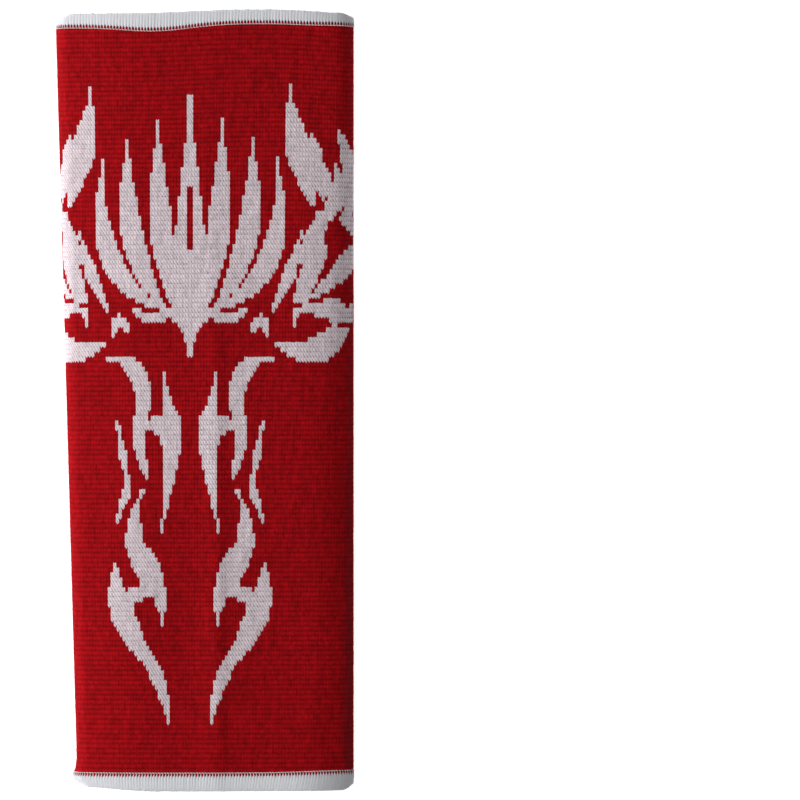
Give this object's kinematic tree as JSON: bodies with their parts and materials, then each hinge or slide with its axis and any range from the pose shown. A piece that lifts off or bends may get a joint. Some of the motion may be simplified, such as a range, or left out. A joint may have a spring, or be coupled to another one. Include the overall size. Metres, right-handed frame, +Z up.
{
  "type": "knitted elbow pad",
  "caption": "Slip-on knitted elbow pad: a tapered elastic tube with overlocked ends and a thin foam pad sewn inside, lying flat.",
  "frame": {"origin": "bottom centre of the pad's box as it lies flat on its back", "axes": "+X across the tube towards its straight side, +Y along it towards the upper-arm end, +Z up out of the printed side"},
  "size_m": [0.0919, 0.24, 0.014],
  "materials": {
    "red_knit": "matte",
    "white_knit": "matte",
    "knit_backing": "matte",
    "elastic_yarn": "matte",
    "hem_thread": "matte",
    "foam": "matte",
    "cover_fabric": "matte",
    "cover_thread": "matte"
  },
  "bodies": {
    "root": {"knit_face": "red_knit", "elastic_threads": "elastic_yarn", "knit_back": "knit_backing", "upper_hem_face_thread": "hem_thread", "upper_hem_inside_thread": "hem_thread", "upper_hem_needle_thread": "hem_thread", "lower_hem_face_thread": "hem_thread", "lower_hem_inside_thread": "hem_thread", "lower_hem_needle_thread": "hem_thread", "foam_pad": "foam", "pad_cover": "cover_fabric", "pad_cover_stitching": "cover_thread"}
  },
  "joints": []
}
